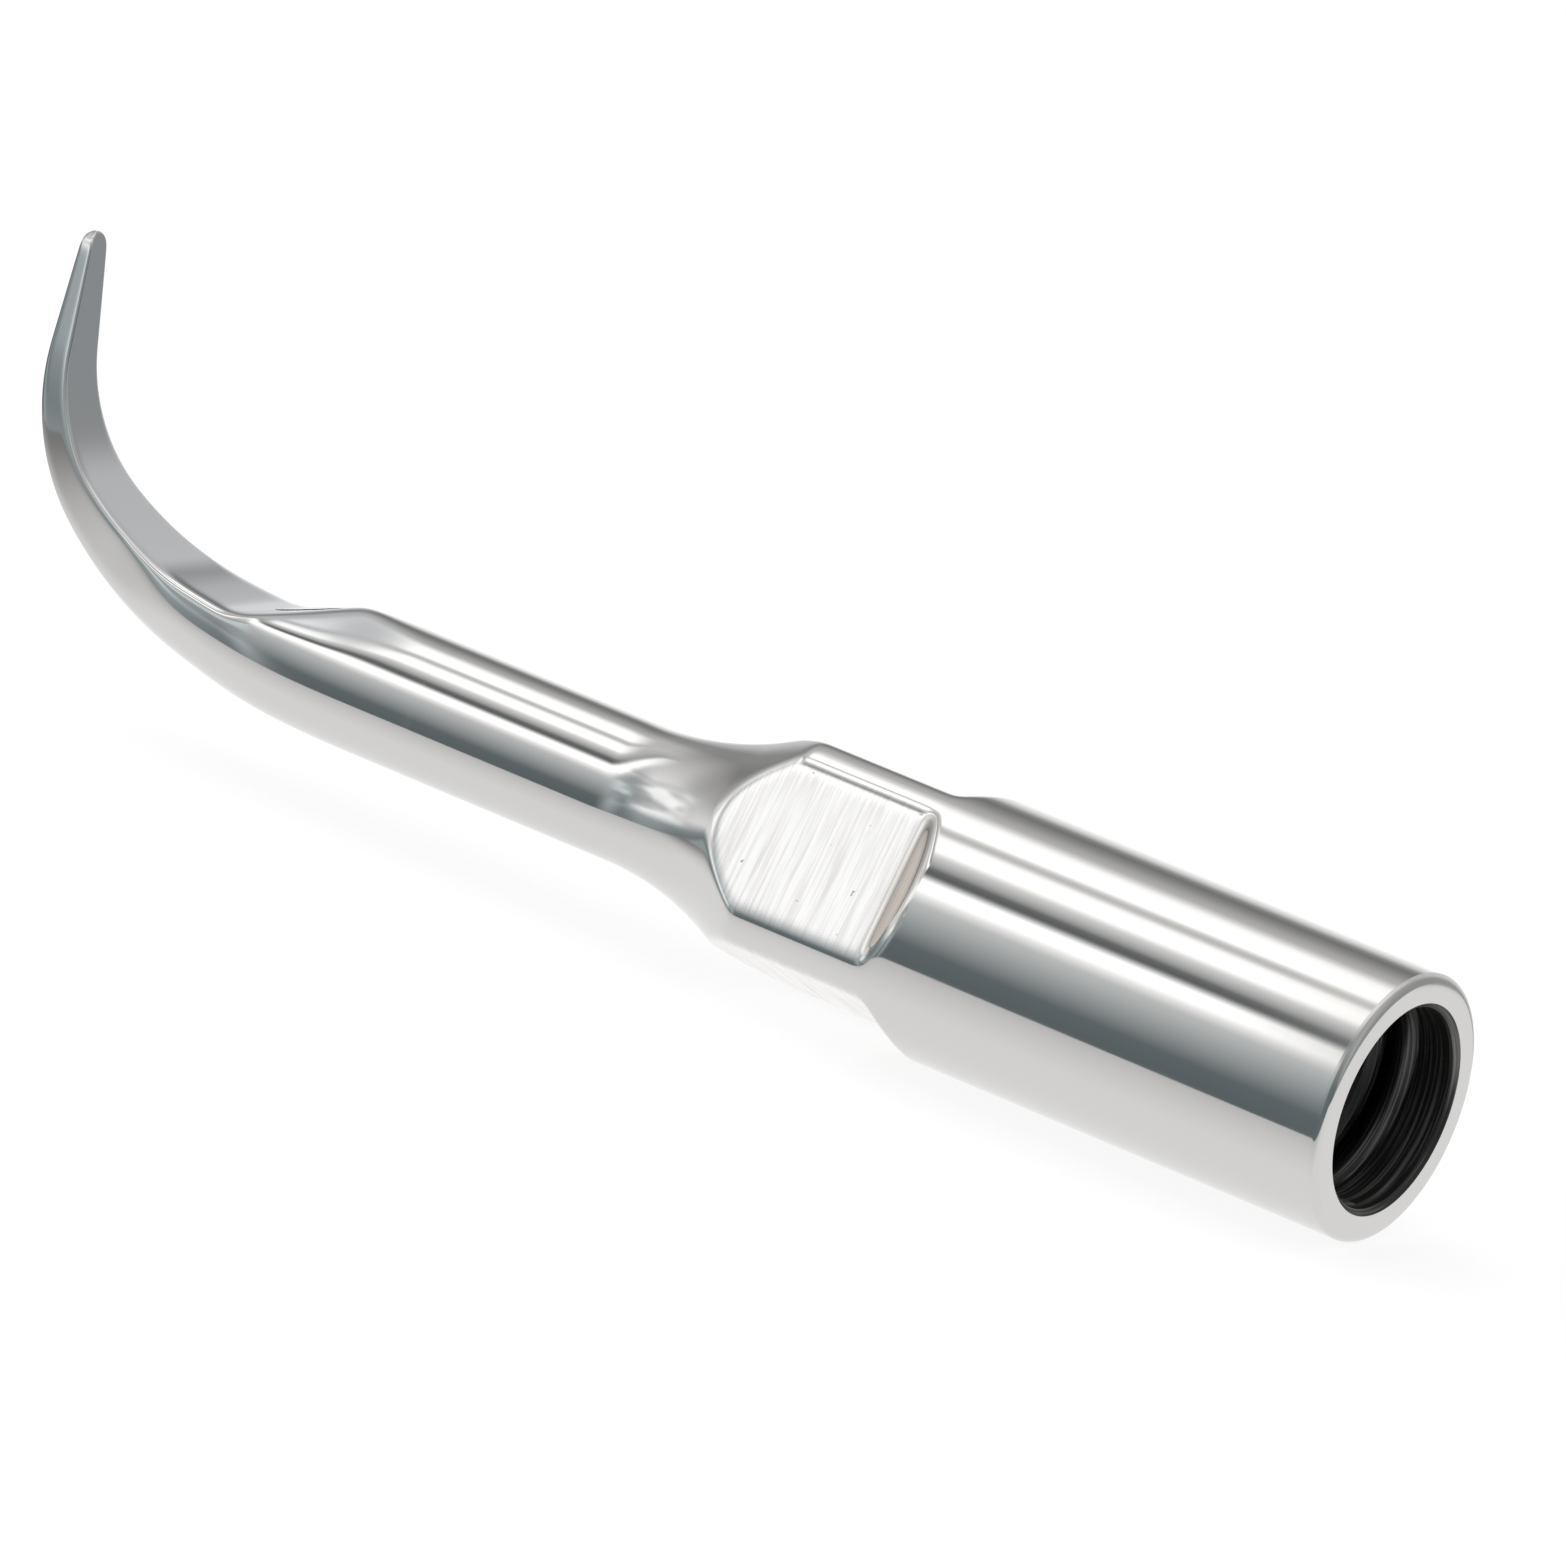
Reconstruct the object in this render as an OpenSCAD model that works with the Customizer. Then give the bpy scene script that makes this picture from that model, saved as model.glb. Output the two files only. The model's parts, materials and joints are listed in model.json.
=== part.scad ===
// Ultrasonic scaler tip, turned from stainless bar, ground on one side and bent to a hook.
// The axis of the threaded socket is X, with X = 0 at the rear face. The hook bends towards +Z.

/* [Threaded socket] */
// Outside diameter of the round body
body_d = 4; // [3.8:0.05:4.6]
// Nominal diameter of the internal thread, which is the wall of the drilled hole here
bore_d = 3; // [2.4:0.05:3.2]
// Depth of the hole's straight wall
bore_depth = 6; // [4:0.1:6.4]
// Chamfer at the mouth of the hole
mouth_chamfer = 0.08; // [0.02:0.01:0.2]
// Rounding of the outer rear edge
rear_edge_r = 0.12; // [0.04:0.01:0.25]
// Angle of the drill point at the bottom of the hole
drill_point = 118; // [90:1:140]

/* [Wrench collar] */
// Distance across two opposite flats
flats_across = 3.2; // [2.9:0.05:3.7]
// Number of flats round the collar
flat_count = 4; // [4, 6]
// From the rear face to the rear foot of the flats
flat_start = 7.83; // [7:0.01:8.8]
// Slope of the ramp that rises from each flat to the round body
ramp_angle = 43; // [30:1:60]
// How far the flats are turned from the plane of the hook
flat_roll = 22.5; // [0:0.5:45]

/* [Neck and shank] */
// From the rear face to the shoulder where the neck begins to narrow
shoulder_x = 10.15; // [9.6:0.05:12]
// Slope of the neck's straight cone
flare_angle = 26; // [20:1:35]
// Radius of the hollow sweep from the cone into the shank
flare_r = 5.25; // [3:0.05:6]
// Diameter of the round shank
shank_d = 2.11; // [1.9:0.01:2.4]
// Straight shank, from the end of the sweep to the start of the bend
shank_l = 4.7; // [4:0.1:8]

/* [Water channel] */
// Diameter of the drilled water channel
channel_d = 0.4; // [0.3:0.05:0.5]
// Height of the channel above the axis, so that it breaks out on the ground ramp
channel_rise = 0.68; // [0.5:0.01:0.72]

/* [Bend] */
// Radius of the first, slow bend
bend_1_r = 22.7; // [15:0.1:40]
// Turn of the first bend
bend_1_angle = 7.7; // [4:0.1:10]
// Radius of the middle bend
bend_2_r = 5.5; // [4:0.1:8]
// Turn of the middle bend
bend_2_angle = 24.8; // [15:0.1:40]
// Radius of the tight bend near the end
bend_3_r = 2.6; // [2:0.05:4]
// Turn of the tight bend
bend_3_angle = 53.2; // [30:0.1:60]
// Straight length at the end of the hook
end_l = 1.78; // [1:0.01:3]

/* [Ground working end] */
// Straight length of the working end behind the bend
tip_lead = 1.5; // [1.2:0.1:2.5]
// How far into the bend the ground ramp leaves the round shank
step_ahead = 0.46; // [0.1:0.01:0.6]
// Slope of the ground ramp
step_angle = 23.4; // [16:0.1:28]
// Rounding of the hollow where the ramp runs into the ground face
step_round = 0.15; // [0.05:0.01:0.3]
// Height of the ground face over the middle line where the taper starts, as a share of the back's radius
face_share = 0.31; // [0.15:0.01:0.5]
// The same share at the end of the hook
end_face_share = 0.43; // [0.2:0.01:0.6]
// How far behind the bend the two bevels beside the ramp begin
bevel_back = 0.5; // [0.2:0.05:0.8]
// How far the bevels are turned from the ground face
bevel_turn = 30; // [20:1:40]
// Slope of the bevels
bevel_angle = 4.2; // [2:0.1:8]
// From the start of the bend to the start of the taper
taper_offset = 1.78; // [0.5:0.01:3]
// Rounding of the start of the taper
taper_round = 0.12; // [0.05:0.01:0.2]
// Diameter at the end of the hook
end_d = 0.38; // [0.2:0.01:0.6]
// From the start of the bend to the start of the side faces
side_offset = 1.5; // [0.5:0.1:2.5]
// Length over which the side faces spread to their full width
side_run = 3.2; // [1:0.1:5]
// Half width over the full side faces, as a share of the back's radius
side_share = 0.84; // [0.7:0.01:0.95]
// How far the side faces lean towards the back
side_lean = 14; // [0:1:20]
// Rounding of the ground edges
edge_round = 0.15; // [0.05:0.01:0.2]

/* [Hidden] */
$fn = 96;

// Cuts run past the metal by this much, so that no skin is left behind
cut_margin = 0.5;
// The collar takes in this much round body behind its ramps and cone ahead of its flats
collar_lead = 0.1;
// Points round each section of the working end, and sections along it
section_points = 48;
section_count = 60;
// Sections in the rounded nose, and how far round its quarter circle the last one lies
nose_count = 4;
nose_turn = 75;
// A ground face no longer limits the section where it is seen this flat from the middle line
least_sine = 0.02;

body_r = body_d / 2;
bore_r = bore_d / 2;
shank_r = shank_d / 2;
channel_r = channel_d / 2;
flat_h = flats_across / 2;
end_r = end_d / 2;

// Stations along the axis
socket_end = flat_start - (body_r - flat_h) / tan(ramp_angle) - collar_lead;
foot_r = shank_r + flare_r * (1 - cos(flare_angle));
foot_x = shoulder_x + (body_r - foot_r) / tan(flare_angle);
neck_end = foot_x + flare_r * sin(flare_angle);
collar_end = shoulder_x + (body_r - flat_h) / tan(flare_angle) + collar_lead;
bend_start = neck_end + shank_l;
tip_start = bend_start - tip_lead;
step_x = bend_start + step_ahead;
outlet_end = step_x + (shank_r - channel_rise + channel_d) / tan(step_angle);

// The working end's middle line: each stretch is [length, curvature]
stretches = [
    [tip_lead, 0],
    [bend_1_r * bend_1_angle * PI / 180, 1 / bend_1_r],
    [bend_2_r * bend_2_angle * PI / 180, 1 / bend_2_r],
    [bend_3_r * bend_3_angle * PI / 180, 1 / bend_3_r],
    [end_l, 0]
];
function sum_lengths(i) = i < 0 ? 0 : stretches[i][0] + sum_lengths(i - 1);
tip_length = sum_lengths(len(stretches) - 1);
taper_from = tip_lead + taper_offset;

// Place and heading [x, z, angle] after a walk of length s along the stretches
function walk(s, i = 0, x = tip_start, z = 0, heading = 0) =
    let (
        d = min(s, stretches[i][0]),
        k = stretches[i][1],
        turned = heading + k * d * 180 / PI,
        nx = k == 0 ? x + d * cos(heading) : x + (sin(turned) - sin(heading)) / k,
        nz = k == 0 ? z + d * sin(heading) : z + (cos(heading) - cos(turned)) / k
    )
    s <= stretches[i][0] || i == len(stretches) - 1
        ? [nx, nz, turned]
        : walk(s - stretches[i][0], i + 1, nx, nz, turned);

// The smaller or the larger of two lengths, with the corner between them rounded over a reach
function soft_min(a, b, reach) = min(a, b) - pow(max(reach - abs(a - b), 0), 3) / (6 * reach * reach);
function soft_max(a, b, reach) = -soft_min(-a, -b, reach);

// How far along the taper a section lies, from 0 at its start to 1 at the end of the hook
function taper(s) = max(s - taper_from, 0) / (tip_length - taper_from);

// Distances from the middle line: round back, ground face with its ramp, bevels and side faces
function back_r(s) = soft_min(
    shank_r,
    shank_r + (end_r - shank_r) * (s - taper_from) / (tip_length - taper_from),
    taper_round
);
function face_h(s) = soft_max(
    shank_r - (s - tip_lead - step_ahead) * tan(step_angle),
    back_r(s) * (face_share + (end_face_share - face_share) * taper(s)),
    step_round
);
function bevel_h(s) = shank_r - (s - tip_lead + bevel_back) * tan(bevel_angle);
function side_spread(s) = let (u = min(max(s - tip_lead - side_offset, 0) / side_run, 1)) u * u * (3 - 2 * u);
function side_w(s) = back_r(s) * cos(acos(side_share) * side_spread(s));

// Distance from the middle line to a plane, for the sine of the angle at which it is seen
function to_plane(distance, sine) = distance / max(sine, least_sine);

// Distance from the middle line to the skin, towards angle t in the section at s
function skin(t, s) = let (
    ground_face = to_plane(face_h(s), sin(t)),
    bevel = to_plane(bevel_h(s), sin(t) * cos(bevel_turn) + abs(cos(t)) * sin(bevel_turn)),
    side = to_plane(side_w(s), abs(cos(t)) * cos(side_lean) - sin(t) * sin(side_lean)),
    ground = soft_min(ground_face, bevel, edge_round),
    round_part = soft_min(back_r(s), side, edge_round)
) soft_min(round_part, ground, edge_round);

// One section of the working end, square to its middle line
function section(s, shrink) = let (p = walk(s)) [
    for (j = [0 : section_points - 1])
        let (t = 360 * j / section_points, q = shrink * skin(t, s))
        [p[0] - q * sin(t) * sin(p[2]), q * cos(t), p[1] + q * sin(t) * cos(p[2])]
];

// Outline of the turned blank from the axis outwards, along the bar
module blank_outline() {
    difference() {
        square([body_r, shoulder_x]);
        translate([body_r - rear_edge_r, 0])
            difference() {
                translate([0, -cut_margin]) square([rear_edge_r + cut_margin, rear_edge_r + cut_margin]);
                translate([0, rear_edge_r]) circle(rear_edge_r);
            }
    }
    polygon([[0, shoulder_x], [body_r, shoulder_x], [foot_r, foot_x], [0, foot_x]]);
    difference() {
        translate([0, foot_x]) square([foot_r, neck_end - foot_x]);
        translate([shank_r + flare_r, neck_end]) circle(flare_r);
    }
    translate([0, neck_end]) square([shank_r, shank_l]);
}

module turned_blank() {
    rotate([0, 90, 0]) rotate_extrude() blank_outline();
}

// The part of the blank between two stations
module blank_slice(from_x, to_x) {
    intersection() {
        turned_blank();
        translate([from_x, 0, 0]) rotate([0, 90, 0]) cylinder(h = to_x - from_x, r = body_d);
    }
}

// Metal milled away over one flat, with the ramp at its rear end
module flat_cut() {
    rise = body_r - flat_h + cut_margin;
    rotate([90, 0, 0])
        linear_extrude(height = 2 * body_d, center = true)
            polygon([
                [flat_start, flat_h],
                [flat_start - rise / tan(ramp_angle), flat_h + rise],
                [neck_end, flat_h + rise],
                [neck_end, flat_h]
            ]);
}

module flat_cuts() {
    for (k = [0 : flat_count - 1])
        rotate([flat_roll + k * 360 / flat_count, 0, 0]) flat_cut();
}

// The threaded hole with its chamfered mouth and drill point
module socket_hole() {
    mouth_r = bore_r + mouth_chamfer;
    rotate([0, 90, 0])
        rotate_extrude()
            polygon([
                [0, -cut_margin],
                [mouth_r, -cut_margin],
                [mouth_r, 0],
                [bore_r, mouth_chamfer],
                [bore_r, bore_depth],
                [0, bore_depth + bore_r / tan(drill_point / 2)]
            ]);
}

// The drilled way for the water, from the hole's bottom to the ground ramp
module water_channel() {
    translate([bore_depth, 0, channel_rise])
        rotate([0, 90, 0])
            cylinder(h = outlet_end - bore_depth, r = channel_r);
}

module threaded_socket() {
    color("silver")
        difference() {
            blank_slice(0, socket_end);
            socket_hole();
            water_channel();
        }
}

module wrench_collar() {
    color("gainsboro")
        difference() {
            blank_slice(socket_end, collar_end);
            flat_cuts();
            socket_hole();
            water_channel();
        }
}

module flared_neck() {
    color("silver")
        difference() {
            blank_slice(collar_end, neck_end);
            flat_cuts();
            water_channel();
        }
}

module shank() {
    color("silver")
        difference() {
            blank_slice(neck_end, tip_start);
            water_channel();
        }
}

// The ground and bent end: sections swept along the middle line, closed by a rounded nose
module tip_sweep() {
    nose_from = tip_length - end_r;
    body_rings = [for (i = [0 : section_count - 1]) section(nose_from * i / (section_count - 1), 1)];
    nose_rings = [
        for (i = [1 : nose_count])
            let (a = nose_turn * i / nose_count)
            section(nose_from + end_r * sin(a), cos(a))
    ];
    rings = concat(body_rings, nose_rings);
    last = len(rings) - 1;
    n = section_points;
    skin_faces = [
        for (i = [0 : last - 1], j = [0 : n - 1], half = [0, 1])
            let (k = (j + 1) % n)
            half == 0
                ? [i * n + j, i * n + k, (i + 1) * n + k]
                : [i * n + j, (i + 1) * n + k, (i + 1) * n + j]
    ];
    rear_face = [for (j = [0 : n - 1]) n - 1 - j];
    nose_face = [for (j = [0 : n - 1]) last * n + j];
    polyhedron(
        points = [for (ring = rings, p = ring) p],
        faces = concat(skin_faces, [rear_face, nose_face]),
        convexity = 4
    );
}

module working_tip() {
    color("lightgray")
        difference() {
            tip_sweep();
            water_channel();
        }
}

threaded_socket();
wrench_collar();
flared_neck();
shank();
working_tip();
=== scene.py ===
# %% [markdown]
# # A scaler tip in polished steel
# The object is the screw-on tip of an ultrasonic scaler: one small bar of stainless steel, turned, milled,
# ground and bent to a hook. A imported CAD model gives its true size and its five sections. This lesson
# replaces each section by a smooth piece in the same place, because a mirror finish shows every facet of a
# coarse mesh.

# %% Load the frame
import json
import math

import bmesh
import bpy
import numpy as np
from mathutils import Matrix, Quaternion, Vector


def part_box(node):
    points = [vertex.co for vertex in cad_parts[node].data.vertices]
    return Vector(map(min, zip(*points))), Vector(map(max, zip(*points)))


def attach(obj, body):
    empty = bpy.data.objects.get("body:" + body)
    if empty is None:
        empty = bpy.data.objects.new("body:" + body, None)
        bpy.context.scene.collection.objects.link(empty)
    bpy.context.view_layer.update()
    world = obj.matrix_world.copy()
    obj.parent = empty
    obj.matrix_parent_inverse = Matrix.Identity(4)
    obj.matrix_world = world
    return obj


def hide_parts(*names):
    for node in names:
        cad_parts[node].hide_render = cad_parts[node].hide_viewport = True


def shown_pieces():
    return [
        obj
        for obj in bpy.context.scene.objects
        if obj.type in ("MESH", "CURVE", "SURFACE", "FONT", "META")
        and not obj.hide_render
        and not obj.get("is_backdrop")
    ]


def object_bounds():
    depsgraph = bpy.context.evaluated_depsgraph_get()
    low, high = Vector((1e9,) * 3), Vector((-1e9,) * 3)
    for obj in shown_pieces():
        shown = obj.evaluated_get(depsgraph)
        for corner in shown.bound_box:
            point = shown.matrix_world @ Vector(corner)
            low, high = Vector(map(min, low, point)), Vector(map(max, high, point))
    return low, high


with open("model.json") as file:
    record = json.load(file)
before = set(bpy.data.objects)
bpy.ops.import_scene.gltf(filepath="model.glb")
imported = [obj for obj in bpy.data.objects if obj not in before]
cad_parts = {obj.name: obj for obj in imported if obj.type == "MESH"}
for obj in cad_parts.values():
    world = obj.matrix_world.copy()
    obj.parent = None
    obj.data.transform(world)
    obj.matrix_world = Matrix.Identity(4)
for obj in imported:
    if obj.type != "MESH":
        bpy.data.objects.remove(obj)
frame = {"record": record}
cad_low, cad_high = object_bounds()
print("CAD box, mm:", [round(c * 1000, 2) for c in (*cad_low, *cad_high)])

# %% [markdown]
# ## Sizes from the frame
# The tip is only 25 mm long, and Blender's own tolerances are meant for things the size of a chair. So every
# piece is built in millimetres, where nothing is too small, and is brought to metres at the very end. The
# places where one section ends and the next begins come from the boxes of the CAD nodes. A box of a round
# node is a little too small, because its mesh has facets, so the two diameters are written out.

# %% Stations and radii
MM = 0.001


def span(node):
    """Lowest and highest corner of a CAD node, in millimetres."""
    return tuple(Vector(round(c / MM, 3) for c in corner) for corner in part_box(node))


socket_end = span("threaded_socket")[1].x
collar_end = span("wrench_collar")[1].x
neck_end = span("flared_neck")[1].x
tip_start = span("shank")[1].x
body_r = 4.0 / 2
shank_r = 2.11 / 2
socket_mount = next(m for m in frame["record"]["mounts"] if m["name"] == "socket")
bore_r = socket_mount["dims"]["r_mm"]
bore_length = socket_mount["dims"]["length_mm"]
print("stations, mm:", socket_end, collar_end, neck_end, tip_start)
print("radii, mm: body", body_r, "bore", bore_r, "shank", shank_r)

# %% [markdown]
# ## Camera
# A long lens from behind and to one side, a little above the tip. The camera is also rolled, so the tip rises
# towards the upper left of the picture. Azimuth, elevation and roll are easier to adjust than a matrix, so
# the camera's turn is worked out from them.

# %% Camera
look_at = Vector((10.38, 0.91, 1.24)) * MM
camera_azimuth = math.radians(120.42)
camera_elevation = math.radians(13.62)
camera_roll = math.radians(14.56)
camera_distance = 200 * MM

towards_camera = Vector((
    math.cos(camera_elevation) * math.cos(camera_azimuth),
    math.cos(camera_elevation) * math.sin(camera_azimuth),
    math.sin(camera_elevation),
))
camera_data = bpy.data.cameras.new("long_lens")
camera_data.lens = 323.7
camera_data.sensor_width = 36
camera_data.clip_start = camera_distance / 10
camera_data.clip_end = camera_distance * 100
camera = bpy.data.objects.new("camera", camera_data)
camera.location = look_at + towards_camera * camera_distance
upright = towards_camera.to_track_quat("Z", "Y")
camera.rotation_mode = "QUATERNION"
camera.rotation_quaternion = upright @ Quaternion((0, 0, 1), camera_roll)
bpy.context.scene.collection.objects.link(camera)
bpy.context.scene.camera = camera
print("camera at, mm:", [round(c / MM, 1) for c in camera.location])

# %% [markdown]
# ## Two small helpers
# Colours are written as the hex values that a picture editor shows. Blender's shaders work in linear light,
# so one function converts them. Node trees are long to write out, so another one adds a node, sets its
# properties and fills its inputs with values or links. A Map Range node, for instance, takes in this order
# its value, the two ends of the range that the value comes from, and the two ends of the one it goes to.

# %% Colour and node helpers
MATH = "ShaderNodeMath"
VECTOR_MATH = "ShaderNodeVectorMath"
MAP_RANGE = "ShaderNodeMapRange"
MIX = "ShaderNodeMix"
NOISE = "ShaderNodeTexNoise"
BUMP = "ShaderNodeBump"
SMOOTH = {"interpolation_type": "SMOOTHSTEP"}


def linear(hex_colour):
    """Linear RGBA of an sRGB hex colour."""
    levels = [int(hex_colour[i:i + 2], 16) / 255 for i in (0, 2, 4)]
    curve = [c / 12.92 if c <= 0.04045 else ((c + 0.055) / 1.055) ** 2.4 for c in levels]
    return (*curve, 1.0)


def add_node(tree, kind, inputs=(), **settings):
    """A new node: settings are its properties, and inputs are values or links, in order or by socket.

    A link is an output of another node, or that node itself, which stands for its first output.
    """
    node = tree.nodes.new(kind)
    for name, value in settings.items():
        setattr(node, name, value)
    pairs = inputs.items() if isinstance(inputs, dict) else enumerate(inputs)
    for key, value in pairs:
        if isinstance(value, bpy.types.Node):
            value = value.outputs[0]
        if isinstance(value, bpy.types.NodeSocket):
            tree.links.new(value, node.inputs[key])
        else:
            node.inputs[key].default_value = value
    return node


print("mid grey 808080 is", round(linear("808080")[0], 3), "in linear light")

# %% [markdown]
# ## Light tent
# Polished steel has no look of its own: what the eye sees is the room. Small bright parts are photographed in
# a light tent, a white cloth half-pipe with lamps outside it. The tent is described by ramps of brightness
# round the tip's long axis: 0 degrees is straight up, +90 is the camera's side, -90 the far side. Lamps and
# gaps end somewhere along the tent, so it has one ramp for each stretch, at a station from its rear (-1) to
# its front (1).

# %% Ramps of the tent
TENT_MIDDLE = [
    (-180, 0.20), (-112, 0.20),  # dark room below
    (-106, 1.20), (-85, 1.20), (-72, 0.90),  # far wall
    (-62, 0.36), (-55, 0.25), (-46, 0.38), (-38, 0.56), (-31, 0.70),  # gap above the far wall
    (-26, 1.10), (-22, 1.55), (-12, 1.80), (-4, 1.70),  # first roof lamp
    (-1, 1.00), (2, 0.74), (5, 0.90),  # seam of the cloth
    (8, 1.55), (14, 1.80), (21, 1.75),  # second roof lamp
    (26, 1.00), (34, 0.55), (38, 0.22), (43, 0.16),  # dark frame of the front lamp
    (46, 0.80), (49, 1.75), (57, 1.80), (62, 1.25), (68, 0.80),  # front lamp
    (103, 0.20), (117, 0.18), (180, 0.20),  # dark room behind the camera
]
TENT_NECK = [
    (-180, 0.20), (-112, 0.20),
    (-106, 0.80), (-85, 0.70), (-73, 0.60), (-61, 0.36), (-48, 0.42),  # far wall and gap
    (-35, 0.70), (10, 0.80), (30, 0.68), (40, 0.50),  # plain roof
    (46, 0.90), (50, 1.70), (62, 1.75), (74, 0.80),  # front lamp
    (104, 0.58), (117, 0.60), (130, 0.46), (143, 0.30), (180, 0.20),  # cloth on the camera's side
]
TENT_FRONT = [
    (-180, 0.20), (-112, 0.20),
    (-106, 0.80), (-88, 0.78), (-76, 0.55), (-64, 0.36), (-46, 0.36),  # far wall and gap
    (-22, 0.60), (8, 0.85), (30, 1.05), (50, 0.92),  # plain roof
    (79, 0.76), (92, 0.86), (106, 0.50), (120, 0.40), (150, 0.34), (180, 0.20),  # camera's side
]
TENT_FRONT_END = [
    (-180, 0.20), (-112, 0.20),
    (-106, 0.85), (-84, 0.82), (-74, 0.58), (-62, 0.32), (-40, 0.27),  # far wall and gap
    (-15, 0.45), (17, 0.58), (45, 0.80), (70, 1.00), (84, 1.05),  # roof that brightens to the side
    (106, 0.40), (118, 0.27), (128, 0.48), (150, 0.46), (180, 0.20),  # camera's side
]
TENT_REAR = [
    (-180, 0.20), (-112, 0.20),
    (-106, 0.85), (-75, 0.85), (-66, 0.80), (-58, 0.76), (-40, 0.68),  # far wall
    (-10, 1.10), (20, 1.10), (41, 0.35),  # roof lamp
    (60, 0.90), (75, 0.60), (88, 0.40), (104, 0.20), (180, 0.20),  # camera's side
]
TENT_REAR_END = [
    (-180, 0.20), (-112, 0.42), (-60, 0.42), (0, 0.60), (45, 0.45), (80, 0.22), (180, 0.20),
]
TENT = [
    (-0.45, TENT_REAR_END),
    (-0.05, TENT_REAR),
    (0.34, TENT_REAR),
    (0.42, TENT_MIDDLE),
    (0.515, TENT_MIDDLE),
    (0.61, TENT_NECK),
    (0.64, TENT_NECK),
    (0.76, TENT_FRONT),
    (0.80, TENT_FRONT),
    (0.92, TENT_FRONT_END),
]
print("light tent:", len(TENT), "stations,", len(TENT_MIDDLE), "stops in the middle ramp")

# %% [markdown]
# ## World
# The world shader finds the angle round the axis for each direction. In front of the shank the lamps' bands
# swing up to the roof, so their stripes bend where the neck begins. A second, swung angle is kept for that.

# %% World: angles
SWING_X = (0.52, 0.76)
SWING_SIDE = (-40, 0)
SWING_DEGREES = 60


def turn_share(degrees):
    """Share of a full turn, counted from straight down."""
    return (degrees + 180) / 360


world = bpy.data.worlds.new("light_tent")
bpy.context.scene.world = world
world.use_nodes = True
tree = world.node_tree
tree.nodes.clear()
direction = add_node(tree, "ShaderNodeTexCoord").outputs["Generated"]
axes = add_node(tree, "ShaderNodeSeparateXYZ", [direction]).outputs
turn = add_node(tree, MATH, [axes["Y"], axes["Z"]], operation="ARCTAN2")
angle = add_node(tree, MAP_RANGE, [turn, -math.pi, math.pi])
ahead = add_node(tree, MAP_RANGE, [axes["X"], *SWING_X, 0, SWING_DEGREES / 360], **SMOOTH)
side_ends = [turn_share(degrees) for degrees in SWING_SIDE]
near_side = add_node(tree, MAP_RANGE, [angle, *side_ends], **SMOOTH)
swung = add_node(tree, MATH, [ahead, near_side, angle], operation="MULTIPLY_ADD")
print("the lamps' bands swing by", SWING_DEGREES, "degrees")

# %% [markdown]
# At that angle the shader reads the ramps, and it fades from one station to the next. Dark stops get a little
# blue, because unlit cloth and room look cool beside a lamp.

# %% World: tent
LAMP_LEVEL = 1.8
COOL_SIDES = ([-90, -50, 20, 90], [0.3, 0.0, 0.0, 1.0])
COOL_TINT = (-0.20, 0.02, 0.12)
SWUNG_RAMPS = (TENT_MIDDLE, TENT_NECK)


def tent_level(tree, stops, angle):
    """Brightness of the tent at an angle round the axis, for stops of (degrees, level)."""
    node = add_node(tree, "ShaderNodeValToRGB", [angle])
    elements = node.color_ramp.elements
    while len(elements) < len(stops):
        elements.new(0.5)
    for element, (degrees, level) in zip(elements, stops):
        element.position = turn_share(degrees)
        cool = max(1 - level, 0) * np.interp(degrees, *COOL_SIDES)
        element.color = (*[level / LAMP_LEVEL * (1 + t * cool) for t in COOL_TINT], 1.0)
    return node.outputs["Color"]


last_x, last_ramp = TENT[0]
tent = tent_level(tree, last_ramp, angle)
for station_x, ramp in TENT[1:]:
    if ramp is not last_ramp:
        share = add_node(tree, MAP_RANGE, [axes["X"], last_x, station_x], **SMOOTH)
        level = tent_level(tree, ramp, swung if ramp in SWUNG_RAMPS else angle)
        tent = add_node(tree, MIX, {0: share, 6: tent, 7: level}, data_type="RGBA").outputs[2]
    last_x, last_ramp = station_x, ramp
print("tent:", LAMP_LEVEL, "times white at the lamps")

# %% [markdown]
# On the camera's side the cloth in front of the neck hangs in folds, which mottle the reflections there. They
# are noise that fades in and out at the limits of a window. A direct look meets a white sheet, not the tent.

# %% World: folds and backdrop
FOLD_SCALE = 4.0
FOLD_NOISE = (0.35, 0.65)
FOLD_LEVEL = (0.75, 1.65)
FOLD_X = [(0.55, 0.66), (0.96, 0.90)]  # each limit of the window is given from outside to inside
FOLD_DEGREES = [(30, 50), (108, 92)]

fold_noise = add_node(tree, NOISE, {"Vector": direction, "Scale": FOLD_SCALE, "Detail": 1.0})
folds = add_node(tree, MAP_RANGE, [fold_noise, *FOLD_NOISE, *FOLD_LEVEL], **SMOOTH)
limits = [(axes["X"], outside, inside) for outside, inside in FOLD_X]
limits += [(angle, turn_share(outside), turn_share(inside)) for outside, inside in FOLD_DEGREES]
folded = 1.0
for value, outside, inside in limits:
    within = add_node(tree, MAP_RANGE, [value, outside, inside], **SMOOTH)
    folded = add_node(tree, MATH, [folded, within], operation="MULTIPLY")
fold_level = add_node(tree, MIX, {0: folded, 2: 1.0, 3: folds}, data_type="FLOAT")
tent = add_node(tree, VECTOR_MATH, {0: tent, "Scale": fold_level}, operation="SCALE")
tent_light = add_node(tree, "ShaderNodeBackground", {"Color": tent, "Strength": LAMP_LEVEL})
white_sheet = add_node(tree, "ShaderNodeBackground", {"Color": (1, 1, 1, 1), "Strength": 1.0})
seen_directly = add_node(tree, "ShaderNodeLightPath").outputs["Is Camera Ray"]
backdrop = add_node(tree, "ShaderNodeMixShader", [seen_directly, tent_light, white_sheet])
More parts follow.
